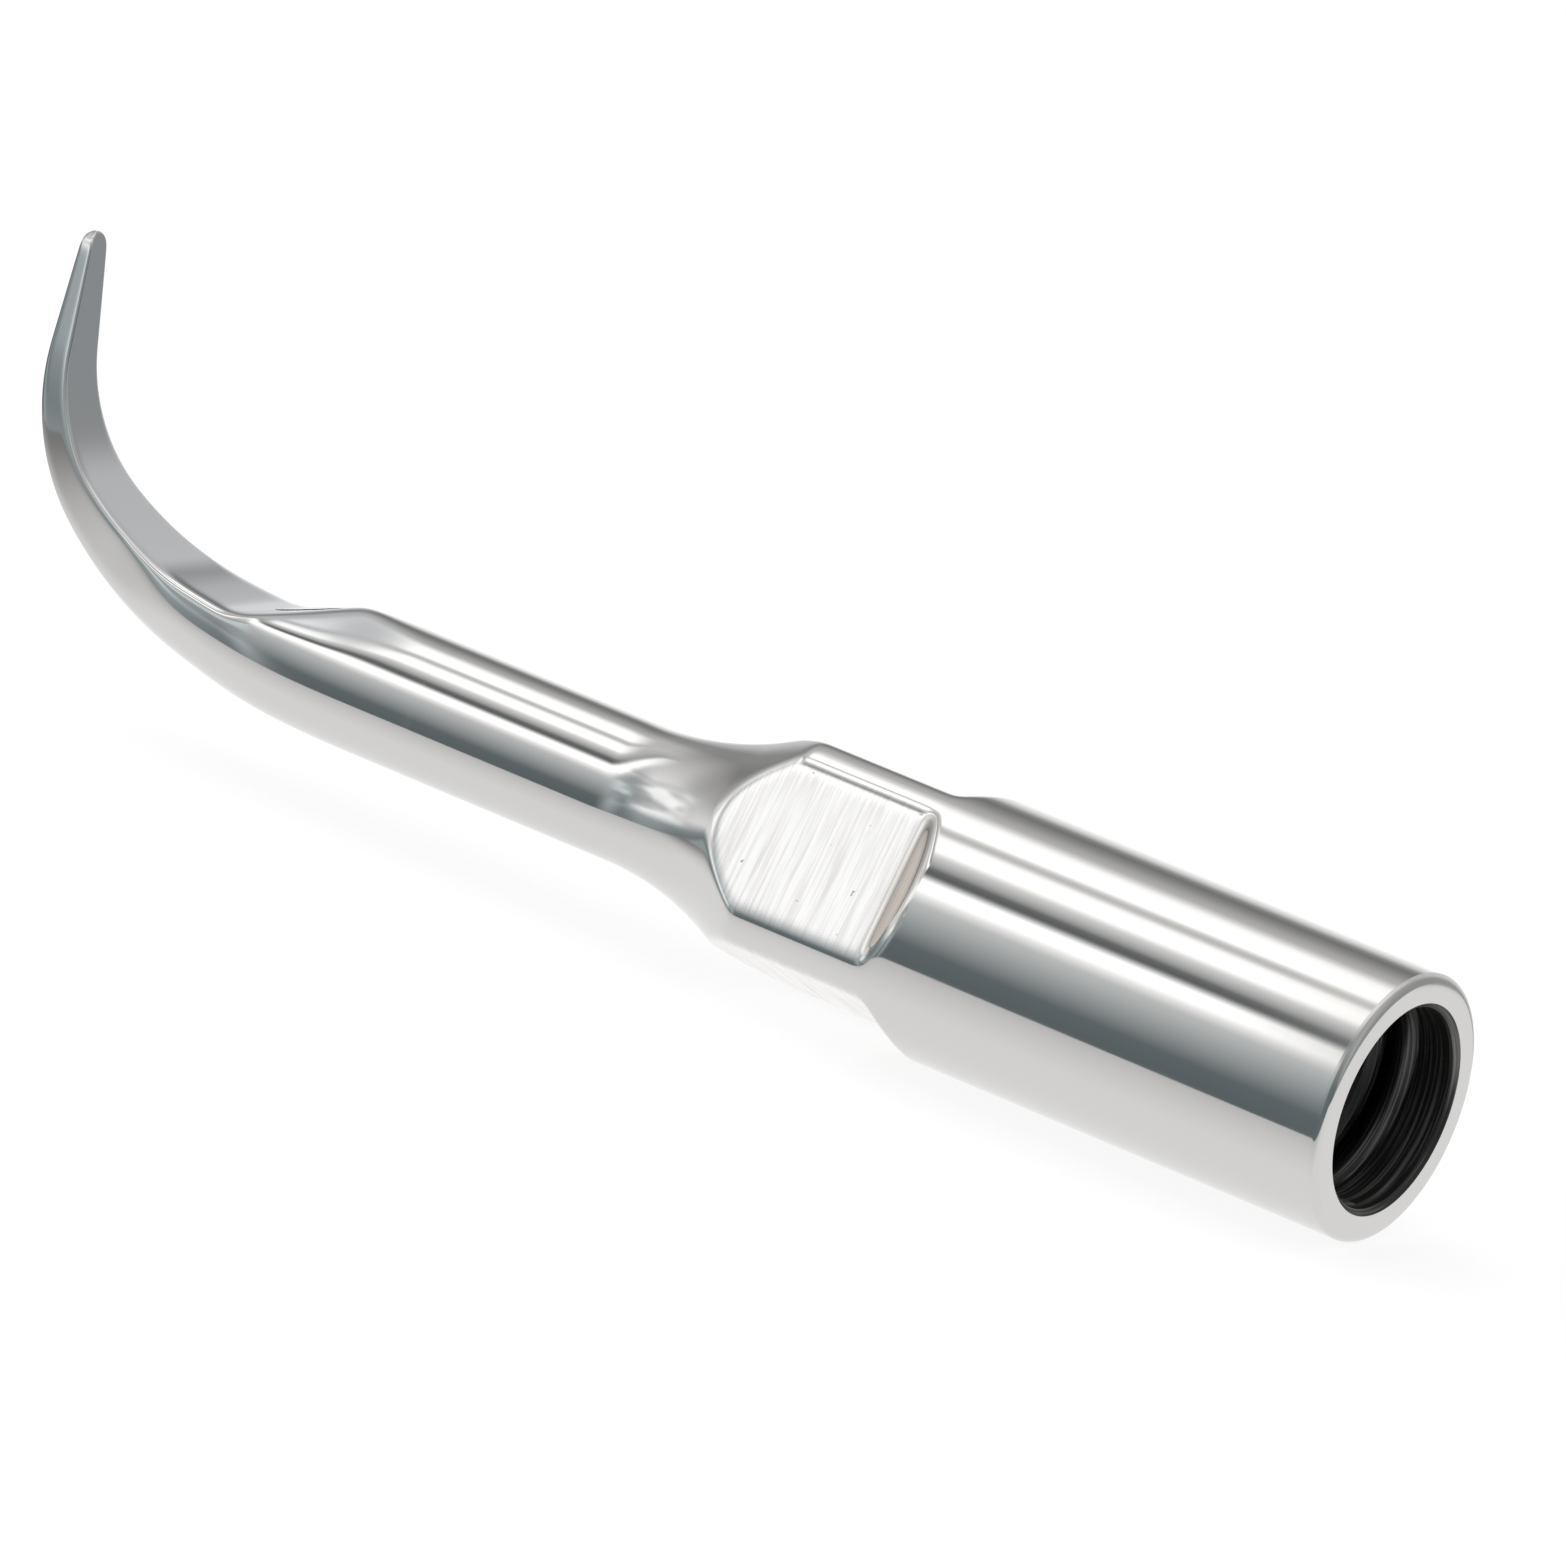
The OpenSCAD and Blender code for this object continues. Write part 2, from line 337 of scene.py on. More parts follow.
add_node(tree, "ShaderNodeOutputWorld", {"Surface": backdrop})
print("world:", len(tree.nodes), "nodes")

# %% [markdown]
# ## Floor and card
# The tip lies on a white sheet. What the steel mirrors is a second sheet: a white card of limited size below
# it. Where a reflection runs past the card's edge, it meets the dark room, and that gives the crisp dark band
# along the side.

# %% Floor and card
FLOOR_ENDS = (-2.0, 2.0)
CARD_X = (-80 * MM, 60 * MM)
CARD_Y = (-50 * MM, 18 * MM)
CARD_Z = -10 * MM


def level_sheet(name, x_ends, y_ends, z):
    """A level rectangle that belongs to the stage, in metres."""
    mesh = bpy.data.meshes.new(name)
    (low_x, high_x), (low_y, high_y) = x_ends, y_ends
    corners = [(low_x, low_y, z), (high_x, low_y, z), (high_x, high_y, z), (low_x, high_y, z)]
    mesh.from_pydata(corners, [], [(0, 1, 2, 3)])
    sheet = bpy.data.objects.new(name, mesh)
    bpy.context.scene.collection.objects.link(sheet)
    sheet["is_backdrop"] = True
    return sheet


floor_z = cad_low.z
floor = level_sheet("floor", FLOOR_ENDS, FLOOR_ENDS, floor_z)
floor.visible_glossy = False
card = level_sheet("card", CARD_X, CARD_Y, CARD_Z)
card.visible_camera = False
card.visible_diffuse = False
card.visible_shadow = False
print("floor at", round(floor_z / MM, 2), "mm, card at", round(CARD_Z / MM, 2), "mm")

# %% [markdown]
# The card shines by itself, so that its brightness is known. It is a little dimmer along its near edge, and
# it gets darker towards its front end, where the hook looks at it.

# %% White card
CARD_ACROSS = (0.74, 1.02)
CARD_DIM_X = (34 * MM, 60 * MM)
CARD_ALONG = (1.0, 0.36)


def stage_material(name):
    """A material without nodes for the stage, and its tree."""
    material = bpy.data.materials.new(name)
    material.use_nodes = True
    material.node_tree.nodes.clear()
    return material, material.node_tree


white_card, tree = stage_material("white_card")
place = add_node(tree, "ShaderNodeTexCoord").outputs["Object"]
axes = add_node(tree, "ShaderNodeSeparateXYZ", [place]).outputs
across = add_node(tree, MAP_RANGE, [axes["Y"], CARD_Y[1], CARD_Y[1] / 3, *CARD_ACROSS])
along = add_node(tree, MAP_RANGE, [axes["X"], *CARD_DIM_X, *CARD_ALONG], **SMOOTH)
card_level = add_node(tree, MATH, [across, along], operation="MULTIPLY")
shine = add_node(tree, "ShaderNodeEmission", {"Strength": card_level})
add_node(tree, "ShaderNodeOutputMaterial", {"Surface": shine})
card.data.materials.append(white_card)
print("card:", CARD_ACROSS, "times white from its near edge inwards")

# %% [markdown]
# Seen by the camera, the sheet on the floor glows a little, so that it comes out white and only keeps a faint
# shadow. From below it is clear, so the underside of the tip can be looked at too.

# %% White paper sheet
PAPER_GLOW = 0.80

paper, tree = stage_material("white_paper_sheet")
seen_directly = add_node(tree, "ShaderNodeLightPath").outputs["Is Camera Ray"]
glow_level = add_node(tree, MATH, [seen_directly, PAPER_GLOW], operation="MULTIPLY")
glow = add_node(tree, "ShaderNodeEmission", {"Strength": glow_level})
matt = add_node(tree, "ShaderNodeBsdfDiffuse", {"Color": linear("9a9a9a")})
lit = add_node(tree, "ShaderNodeAddShader", [glow, matt])
clear = add_node(tree, "ShaderNodeBsdfTransparent")
underside = add_node(tree, "ShaderNodeNewGeometry").outputs["Backfacing"]
sides = add_node(tree, "ShaderNodeMixShader", [underside, lit, clear])
add_node(tree, "ShaderNodeOutputMaterial", {"Surface": sides})
floor.data.materials.append(paper)
bpy.context.scene.view_settings.view_transform = "Standard"
print("sheet glows by", PAPER_GLOW, "for the camera")

# %% [markdown]
# ## Polished stainless steel
# The turned surfaces are polished until they mirror. What is left for the eye is a slight softness, which
# varies in clouds, and polishing lines that run round the axis. The real lines are a few thousandths of a
# millimetre apart. They are drawn thirty times coarser here, because finer ones would not show.

# %% Polished stainless steel
STEEL = linear("cecdcb")
CLOUD_MM = 1.2
LINE_MM = 0.05
LINE_LENGTH_MM = 2.0
LINE_DEPTH_MM = 0.0004
LINE_STRENGTH = 0.15
POLISH_ROUGHNESS = (0.04, 0.09)


def new_metal(name, base):
    """A metal with its object coordinates: the material, its tree, its shader and the coordinates."""
    metal = bpy.data.materials.new(name)
    metal.use_nodes = True
    shader = metal.node_tree.nodes["Principled BSDF"]
    shader.inputs["Base Color"].default_value = base
    shader.inputs["Metallic"].default_value = 1.0
    place = add_node(metal.node_tree, "ShaderNodeTexCoord").outputs["Object"]
    return metal, metal.node_tree, shader, place


def lines_round_axis(tree, place, line_mm, length_mm):
    """Noise that changes every line_mm along the axis and every length_mm across it."""
    fine, slow = 1 / (line_mm * MM), 1 / (length_mm * MM)
    stretched = add_node(tree, "ShaderNodeMapping", {"Vector": place, "Scale": (fine, slow, slow)})
    return add_node(tree, NOISE, {"Vector": stretched, "Scale": 1.0, "Detail": 3.0})


def polished_stainless_steel():
    """Mirror finish: sharp reflections, a little cloudy, with faint lines round the axis."""
    metal, tree, shader, place = new_metal("polished_stainless_steel", STEEL)
    clouds = add_node(tree, NOISE, {"Vector": place, "Scale": 1 / (CLOUD_MM * MM), "Detail": 4.0})
    softness = add_node(tree, MAP_RANGE, [clouds, 0, 1, *POLISH_ROUGHNESS])
    tree.links.new(softness.outputs[0], shader.inputs["Roughness"])
    lines = lines_round_axis(tree, place, LINE_MM, LINE_LENGTH_MM)
    depth = {"Strength": LINE_STRENGTH, "Distance": LINE_DEPTH_MM * MM}
    relief = add_node(tree, BUMP, {**depth, "Height": lines})
    tree.links.new(relief.outputs[0], shader.inputs["Normal"])
    return metal


polished = polished_stainless_steel()
print("material:", polished.name)

# %% [markdown]
# ## Milled flats
# A cutter has crossed each flat from side to side. It leaves fine parallel scratches at right angles to the
# axis, which scatter light, so a flat looks satin-like beside the mirror around it. Its colour is also
# painted much lighter than the steel, almost white: that part is painted sheen, in place of the bright lamps
# that the flats face. The scratches are drawn a few times coarser than real ones, so that they show. The
# collar's mesh
# carries two attributes: milled is 1 on a flat, ramped is 1 on the short ramp behind it, and both are 0 on
# the polished round. So one material holds all three.

# %% Milled flats
SCRATCH_MM = 0.045
SCRATCH_LENGTH_MM = 1.2
SCRATCH_DEPTH_MM = 0.003
SCRATCH_STRENGTH = 0.35
STROKE_NOISE = (0.3, 0.6)
PIT_MM = 0.11
PIT_NOISE = (0.76, 0.80)
CORNER_ROUGHNESS = 0.07
FLAT_ROUGHNESS = 0.28


def milled_steel_with_painted_sheen():
    """Cross-scratched flats made near white by painted sheen, with a few pits, and mirror-polished rounds
    between them.
    """
    metal, tree, shader, place = new_metal("milled_steel_with_painted_sheen", STEEL)
    milled = add_node(tree, "ShaderNodeAttribute", attribute_name="milled").outputs["Fac"]
    ramped = add_node(tree, "ShaderNodeAttribute", attribute_name="ramped").outputs["Fac"]
    scratches = lines_round_axis(tree, place, SCRATCH_MM, SCRATCH_LENGTH_MM)
    strokes = add_node(tree, MAP_RANGE, [scratches, *STROKE_NOISE])
    pit_noise = add_node(tree, NOISE, {"Vector": place, "Scale": 1 / (PIT_MM * MM), "Detail": 1.0})
    pits = add_node(tree, MAP_RANGE, [pit_noise, *PIT_NOISE])
    # The two light colours are painted sheen: far lighter than steel, they stand in for the bright lamps that
    # the flats face.
    painted_sheen_colours = {6: linear("e0dddb"), 7: linear("f8f6f5")}
    scratched_painted_sheen = add_node(tree, MIX, {0: strokes, **painted_sheen_colours}, data_type="RGBA").outputs[2]
    pitted = add_node(tree, MIX, {0: pits, 6: scratched_painted_sheen, 7: linear("a6a19d")}, data_type="RGBA").outputs[2]
    colour = add_node(tree, MIX, {0: milled, 6: STEEL, 7: pitted}, data_type="RGBA").outputs[2]
    colour = add_node(tree, MIX, {0: ramped, 6: colour, 7: linear("cac1b6")}, data_type="RGBA").outputs[2]
    tree.links.new(colour, shader.inputs["Base Color"])
    rough = add_node(tree, MIX, {0: milled, 2: CORNER_ROUGHNESS, 3: FLAT_ROUGHNESS}, data_type="FLOAT")
    tree.links.new(rough.outputs[0], shader.inputs["Roughness"])
    strength = add_node(tree, MIX, {0: milled, 2: 0.0, 3: SCRATCH_STRENGTH}, data_type="FLOAT")
    depth = {"Strength": strength, "Distance": SCRATCH_DEPTH_MM * MM}
    relief = add_node(tree, BUMP, {**depth, "Height": scratches})
    tree.links.new(relief.outputs[0], shader.inputs["Normal"])
    return metal


milled_steel = milled_steel_with_painted_sheen()
print("material:", milled_steel.name)

# %% [markdown]
# ## Ground working end
# The inner face of the hook is ground flat by a fine wheel and only lightly buffed. It is satin, and a shade
# darker than the polished back. Its grain is drawn a few times coarser than a real one, so that it shows. The
# attribute called ground says how much of a point belongs to that face.

# %% Ground working end
GRAIN_MM = 0.06
BACK_ROUGHNESS = 0.06
SATIN_ROUGHNESS = (0.07, 0.12)


def ground_stainless_steel():
    """Satin ground face and polished back on the hook."""
    metal, tree, shader, place = new_metal("ground_stainless_steel", STEEL)
    ground = add_node(tree, "ShaderNodeAttribute", attribute_name="ground").outputs["Fac"]
    grain = add_node(tree, NOISE, {"Vector": place, "Scale": 1 / (GRAIN_MM * MM), "Detail": 3.0})
    colour = add_node(tree, MIX, {0: ground, 6: STEEL, 7: linear("c6c8ca")}, data_type="RGBA")
    tree.links.new(colour.outputs[2], shader.inputs["Base Color"])
    low, high = SATIN_ROUGHNESS
    satin = add_node(tree, MIX, {0: grain, 2: low, 3: high}, data_type="FLOAT")
    rough = add_node(tree, MIX, {0: ground, 2: BACK_ROUGHNESS, 3: satin}, data_type="FLOAT")
    tree.links.new(rough.outputs[0], shader.inputs["Roughness"])
    return metal


ground_steel = ground_stainless_steel()
print("material:", ground_steel.name)

# %% [markdown]
# ## Tapped thread
# The inside of the socket is painted dark, and this steel is only partly metallic: both are painted shade,
# standing in for the shade deep in the bore. The tool marks of the drill and the tap run round the bore, and
# a few of them are painted lighter as painted glints. They are drawn coarser than real ones, which would be
# too fine to show.

# %% Tapped thread
MARK_MM = 0.04
MARK_LENGTH_MM = 2.0
GLINT_NOISE = (0.5, 0.8)
BORE_SHADE_METALLIC = 0.4
DULL_ROUGHNESS = (0.3, 0.5)


def bore_steel_with_painted_shade():
    """Steel inside the socket, painted dark as the shade in the bore, with painted glints on a few tool
    marks.
    """
    metal, tree, shader, place = new_metal("bore_steel_with_painted_shade", STEEL)
    marks = lines_round_axis(tree, place, MARK_MM, MARK_LENGTH_MM)
    bright = add_node(tree, MAP_RANGE, [marks, *GLINT_NOISE])
    # Painted shade and painted glints: the dark colour stands for the shade deep in the bore, and the light
    # one for glints on marks.
    ends = {6: linear("343332"), 7: linear("a5a3a0")}
    colour = add_node(tree, MIX, {0: bright, **ends}, data_type="RGBA")
    tree.links.new(colour.outputs[2], shader.inputs["Base Color"])
    # Only partly metallic, so the dark painted colour shows more: this is part of the painted shade.
    shader.inputs["Metallic"].default_value = BORE_SHADE_METALLIC
    low, high = DULL_ROUGHNESS
    rough = add_node(tree, MIX, {0: marks, 2: low, 3: high}, data_type="FLOAT")
    tree.links.new(rough.outputs[0], shader.inputs["Roughness"])
    return metal


painted_shade_bore_steel = bore_steel_with_painted_shade()
print("material:", painted_shade_bore_steel.name)

# %% [markdown]
# ## Turned blank
# The rear body, the collar, the neck and the shank are cut from one turned bar, so one function gives its
# radius at every station: a cylinder, a straight cone, a hollow sweep and a thinner cylinder. The sweep is
# part of a circle that touches the cone and the thin cylinder, so a reflection runs over it without a break.

# %% Radius of the turned blank
shoulder_x = 10.15
flare_angle = math.radians(26)
flare_r = 5.25
foot_x = neck_end - flare_r * math.sin(flare_angle)


def blank_radius(x):
    """Radius of the turned bar at a station, in millimetres."""
    cone = np.minimum(body_r, body_r - (x - shoulder_x) * math.tan(flare_angle))
    left = np.clip(neck_end - x, 0, flare_r)
    sweep = shank_r + flare_r - np.sqrt(flare_r**2 - left**2)
    return np.where(x < foot_x, cone, sweep)


print("radius at the foot of the neck, mm:", round(float(blank_radius(foot_x)), 3))

# %% [markdown]
# ## Rings to solid
# All four sections are made the same way: rings of points round the axis, joined by four-sided faces and
# closed at both ends. Faces are smooth, and an edge is kept sharp where two faces meet at more than 30
# degrees.

# %% Building a solid from rings
SHARP = math.radians(30)
SAME_POINT = 1e-5


def ring(x, radius, sides):
    """Points round the axis at a station; the radius is one number, or one for each point."""
    turns = np.arange(sides) * 2 * math.pi / sides
    radius = np.broadcast_to(radius, sides)
    return np.stack([np.full(sides, x), radius * np.cos(turns), radius * np.sin(turns)], axis=1)


def solid_from_rings(name, rings):
    """A closed mesh object over a list of rings, each of the same number of points."""
    sides = len(rings[0])
    points = np.concatenate(rings)
    faces = []
    for i in range(len(rings) - 1):
        for j in range(sides):
            k = (j + 1) % sides
            faces.append((i * sides + j, (i + 1) * sides + j, (i + 1) * sides + k, i * sides + k))
    last = (len(rings) - 1) * sides
    faces.append(tuple(range(sides)))
    faces.append(tuple(last + j for j in reversed(range(sides))))
    mesh = bpy.data.meshes.new(name)
    mesh.from_pydata(points.tolist(), [], faces)
    build = bmesh.new()
    build.from_mesh(mesh)
    bmesh.ops.remove_doubles(build, verts=build.verts, dist=SAME_POINT)
    bmesh.ops.recalc_face_normals(build, faces=build.faces)
    build.to_mesh(mesh)
    build.free()
    mesh.shade_smooth()
    mesh.set_sharp_from_angle(angle=SHARP)
    piece = bpy.data.objects.new(name, mesh)
    bpy.context.scene.collection.objects.link(piece)
    return piece


print("edges past", round(math.degrees(SHARP)), "degrees stay sharp")

# %% [markdown]
# ## Threaded socket
# A profile turned about the axis: up the drill point, along the bore, over the chamfer and the flat ring,
# round the outer edge and along the body.

# %% Threaded socket
mouth_chamfer = 0.08
rear_edge_r = 0.12
drill_half_angle = math.radians(118 / 2)
bore_end = mouth_chamfer + bore_length
drill_tip = bore_end + bore_r / math.tan(drill_half_angle)
ROUND_SIDES = 256
EDGE_STEPS = 10

profile = [(drill_tip, 0.0), (bore_end, bore_r), (mouth_chamfer, bore_r), (0.0, bore_r + mouth_chamfer)]
for i in range(EDGE_STEPS + 1):
    quarter = math.pi / 2 * i / EDGE_STEPS
    edge_x = rear_edge_r * (1 - math.cos(quarter))
    edge_radius = body_r - rear_edge_r * (1 - math.sin(quarter))
    profile.append((edge_x, edge_radius))
profile.append((socket_end, body_r))
socket = solid_from_rings("socket_body", [ring(x, r, ROUND_SIDES) for x, r in profile])
print("socket:", len(socket.data.polygons), "faces")

# %% [markdown]
# ## Wrench collar
# Four flats for the key, each with a short ramp at its rear. Seen from the axis, the surface is at one
# distance in each direction. So the collar is a grid of stations and angles, and its radius is the least of
# the blank, the flats and the ramps. Real edges are rounded in a tumbling barrel. Here each point takes the
# mean of its neighbours a number of times, which rounds the edges and leaves the wide surfaces as they are.

# %% Wrench collar
flat_h = 3.2 / 2
flat_count = 4
flat_start = 7.83
ramp_slope = math.tan(math.radians(43))
flat_turn = math.radians(22.5)
rim_depth = 0.07
COLLAR_ROWS = 160
COLLAR_SIDES = 480
TUMBLE_PASSES = 24
LEAST_FACING = 0.3


def tumbled(grid, passes):
    """A grid with its steps rounded: each pass takes the mean of every point and its neighbours."""
    grid = grid.copy()
    for _ in range(passes):
        grid[1:-1] = (grid[:-2] + 2 * grid[1:-1] + grid[2:]) / 4
        grid = (np.roll(grid, 1, axis=1) + 2 * grid + np.roll(grid, -1, axis=1)) / 4
    return grid


collar_rows = np.linspace(socket_end, collar_end, COLLAR_ROWS)
stations = collar_rows[:, None]
turns = np.arange(COLLAR_SIDES) * 2 * math.pi / COLLAR_SIDES
blank = np.repeat(blank_radius(stations), COLLAR_SIDES, axis=1)
flat_or_ramp = flat_h + np.maximum(flat_start - stations, 0) * ramp_slope
collar_radii = blank
for k in range(flat_count):
    facing = np.cos(turns - flat_turn - 2 * math.pi * k / flat_count)
    collar_radii = np.minimum(collar_radii, flat_or_ramp / np.maximum(facing, LEAST_FACING))
cut_away = np.clip((blank - collar_radii) / rim_depth, 0, 1)
milled = tumbled(cut_away * (stations > flat_start), TUMBLE_PASSES)
ramped = tumbled(cut_away * (stations < flat_start), TUMBLE_PASSES)
collar_radii = tumbled(collar_radii, TUMBLE_PASSES)

collar_rings = [ring(x, r, COLLAR_SIDES) for x, r in zip(collar_rows, collar_radii)]
collar = solid_from_rings("wrench_collar_steel", collar_rings)
for name, values in (("milled", milled), ("ramped", ramped)):
    on_points = collar.data.attributes.new(name, "FLOAT", "POINT")
    on_points.data.foreach_set("value", values.ravel().astype(np.float32))
print("collar:", len(collar.data.polygons), "faces")

# %% [markdown]
# ## Neck and shank
# The neck is the straight cone and the hollow sweep, with rings close enough for a smooth reflection. The
# shank is a plain round stem: two rings are exact.

# %% Neck and shank
NECK_ROWS = 90

neck_rows = np.linspace(collar_end, neck_end, NECK_ROWS)
neck_rings = [ring(x, float(blank_radius(x)), ROUND_SIDES) for x in neck_rows]
neck = solid_from_rings("flared_neck_steel", neck_rings)
shank = solid_from_rings("shank_steel", [ring(x, shank_r, ROUND_SIDES) for x in (neck_end, tip_start)])
print("neck:", len(neck.data.polygons), "faces, shank:", len(shank.data.polygons), "faces")

# %% [markdown]
# ## Geometry Nodes: from a tree to a plain mesh
# The two pieces that follow a path are made by Geometry Nodes. Their sizes are named inputs of the tree, so
# each can be changed by itself. The export keeps plain meshes only, so these helpers give an object the tree,
# set the inputs, and swap the object's mesh for the finished result.

# %% Running a Geometry Nodes tree
SOCKETS = {float: "NodeSocketFloat", int: "NodeSocketInt", bpy.types.Material: "NodeSocketMaterial"}


def new_tree(name, values):
    """A tree with a geometry input and output, and one input for each named value."""
    tree = bpy.data.node_groups.new(name, "GeometryNodeTree")
    tree.interface.new_socket("Geometry", in_out="INPUT", socket_type="NodeSocketGeometry")
    for socket_name, value in values.items():
        tree.interface.new_socket(socket_name, in_out="INPUT", socket_type=SOCKETS[type(value)])
    tree.interface.new_socket("Geometry", in_out="OUTPUT", socket_type="NodeSocketGeometry")
    return tree


def evaluated_mesh(piece):
    """The mesh of an object with its modifiers applied, and the modifiers taken off."""
    bpy.context.view_layer.update()
    depsgraph = bpy.context.evaluated_depsgraph_get()
    mesh = bpy.data.meshes.new_from_object(
        piece.evaluated_get(depsgraph), preserve_all_data_layers=True, depsgraph=depsgraph
    )
    piece.modifiers.clear()
    mesh.name = piece.name
    piece.data = mesh
    return mesh


def run_tree(piece, tree, values):
    """Put the tree on the object, set its inputs by identifier, and keep the result as its mesh."""
    modifier = piece.modifiers.new(tree.name, "NODES")
    modifier.node_group = tree
    for item in tree.interface.items_tree:
        if item.in_out == "INPUT" and item.name in values:
            modifier[item.identifier] = values[item.name]
    return evaluated_mesh(piece)


print("Geometry Nodes trees so far:", len(bpy.data.node_groups))

# %% [markdown]
# ## Thread
# The handpiece screws into the socket. The thread is 3 mm wide and has a pitch of 0.6 mm. It starts a little
# inside the mouth and ends before the bottom of the bore.

# %% Thread: sizes
pitch = 0.6
thread_from = 0.5
thread_to = 5.2
thread_turns = (thread_to - thread_from) / pitch
thread_sizes = {
    "Turns": thread_turns,
    "Length": thread_to - thread_from,
    "Wall radius": bore_r,
    "Pitch": pitch,
    "Start": thread_from,
    "Material": painted_shade_bore_steel,
}
print("thread:", round(thread_turns, 1), "turns")

# %% [markdown]
# The thread is a ridge that winds along the bore, so a spiral curve carries a trapezoid profile, whose widths
# and height are shares of the pitch. The ridge shrinks away at both ends of the spiral, as a tapped thread
# runs out. Its foot is sunk a little into the wall.

# %% Thread: tree and mesh
POINTS_PER_TURN = 120
FOOT_SHARE = 7 / 8
CREST_SHARE = 1 / 4
HEIGHT_SHARE = 0.541
RAISE_SHARE = 0.45
RUNOUT_SHARE = 0.06
RUNOUT_LEAST = 0.02
QUARTER = math.pi / 2

tree = new_tree("tapped_thread", thread_sizes)
given = add_node(tree, "NodeGroupInput").outputs
spiral = add_node(
    tree,
    "GeometryNodeCurveSpiral",
    {
        "Resolution": POINTS_PER_TURN,
        "Rotations": given["Turns"],
        "Start Radius": given["Wall radius"],
        "End Radius": given["Wall radius"],
        "Height": given["Length"],
        "Reverse": True,
    },
)
level = add_node(tree, "GeometryNodeSetCurveNormal", {"Curve": spiral}, mode="Z_UP")
along = add_node(tree, "GeometryNodeSplineParameter").outputs["Factor"]
from_end = add_node(tree, MATH, [along, 0.5, 0.5], operation="PINGPONG")
fade = add_node(tree, MAP_RANGE, [from_end, 0, RUNOUT_SHARE, RUNOUT_LEAST])
fading = add_node(tree, "GeometryNodeSetCurveRadius", {"Curve": level, "Radius": fade})
foot_w, crest_w, ridge_h = [
    add_node(tree, MATH, [given["Pitch"], share], operation="MULTIPLY")
    for share in (FOOT_SHARE, CREST_SHARE, HEIGHT_SHARE)
]
ridge = add_node(
    tree,
    "GeometryNodeCurvePrimitiveQuadrilateral",
    {"Height": ridge_h, "Bottom Width": foot_w, "Top Width": crest_w, "Offset": 0.0},
    mode="TRAPEZOID",
)
raise_by = add_node(tree, MATH, [ridge_h, RAISE_SHARE], operation="MULTIPLY")
raised = add_node(tree, "ShaderNodeCombineXYZ", {"Y": raise_by})
seated = add_node(tree, "GeometryNodeTransform", {"Geometry": ridge, "Translation": raised})
inwards = add_node(tree, "GeometryNodeTransform", {"Geometry": seated, "Rotation": (0, 0, -QUARTER)})
swept = add_node(
    tree, "GeometryNodeCurveToMesh", {"Curve": fading, "Profile Curve": inwards, "Fill Caps": True}
)
start_at = add_node(tree, "ShaderNodeCombineXYZ", {"X": given["Start"]})
laid = add_node(
    tree,
    "GeometryNodeTransform",
    {"Geometry": swept, "Translation": start_at, "Rotation": (0, QUARTER, 0)},
)
real = add_node(tree, "GeometryNodeRealizeInstances", {"Geometry": laid})
dressed = add_node(tree, "GeometryNodeSetMaterial", {"Geometry": real, "Material": given["Material"]})
add_node(tree, "NodeGroupOutput", {"Geometry": dressed})

thread = bpy.data.objects.new("socket_thread", bpy.data.meshes.new("socket_thread"))
bpy.context.scene.collection.objects.link(thread)
run_tree(thread, tree, thread_sizes)
print("thread:", len(tree.nodes), "nodes,", len(thread.data.polygons), "faces")

# %% [markdown]
# ## Working end
# From the shank on, the bar follows a bent middle line: a short straight, three arcs that tighten, and a
# straight end. A mesh of points and edges holds that line. The walk goes from one stretch to the next,
# turning by the curvature of each, so a bend is set by its radius and its angle, as in a bending tool.

# %% Middle line of the working end
tip_lead = 1.5
bends = [(22.7, 7.7), (5.5, 24.8), (2.6, 53.2)]
end_straight = 1.78
end_r = 0.38 / 2
TIP_RINGS = 260
NOSE_RINGS = 12

stretches = [(tip_lead, 0.0)]
for bend_r, degrees in bends:
    stretches.append((bend_r * math.radians(degrees), 1 / bend_r))
stretches.append((end_straight, 0.0))
tip_length = sum(length for length, _ in stretches)
nose_from = tip_length - end_r


def walk(distance):
    """Point on the middle line after a walk from the start of the working end."""
    x, z, heading = tip_start, 0.0, 0.0
    for length, curvature in stretches:
        step = min(distance, length)
        turned = heading + curvature * step
        if curvature:
            x += (math.sin(turned) - math.sin(heading)) / curvature
            z += (math.cos(heading) - math.cos(turned)) / curvature
        else:
            x += step * math.cos(heading)
            z += step * math.sin(heading)
        heading = turned
        distance -= step
    return (x, 0.0, z)


steps = [nose_from * i / TIP_RINGS for i in range(TIP_RINGS)]
steps += [nose_from + end_r * math.sin(math.pi / 2 * i / NOSE_RINGS) for i in range(NOSE_RINGS + 1)]
line_mesh = bpy.data.meshes.new("working_end")
line_mesh.from_pydata([walk(d) for d in steps], [(i, i + 1) for i in range(len(steps) - 1)], [])
working_end = bpy.data.objects.new("working_end", line_mesh)
bpy.context.scene.collection.objects.link(working_end)
print("middle line:", round(tip_length, 2), "mm long, ends at", [round(c, 2) for c in walk(tip_length)])

# %% [markdown]
# ## Ground hook
# A section and a path are a rule, so Geometry Nodes sweep a circle along the line, and then move each point
# to the distance that the rule gives. The section is bounded by a round back, a ground face that starts in a
# ramp, two bevels beside the ramp and two leaning sides. All of them taper to a rounded nose. The sizes are
# in millimetres along the middle line. The ramp starts a little ahead of the first bend, the bevels behind
# it, and the taper and the sides follow.

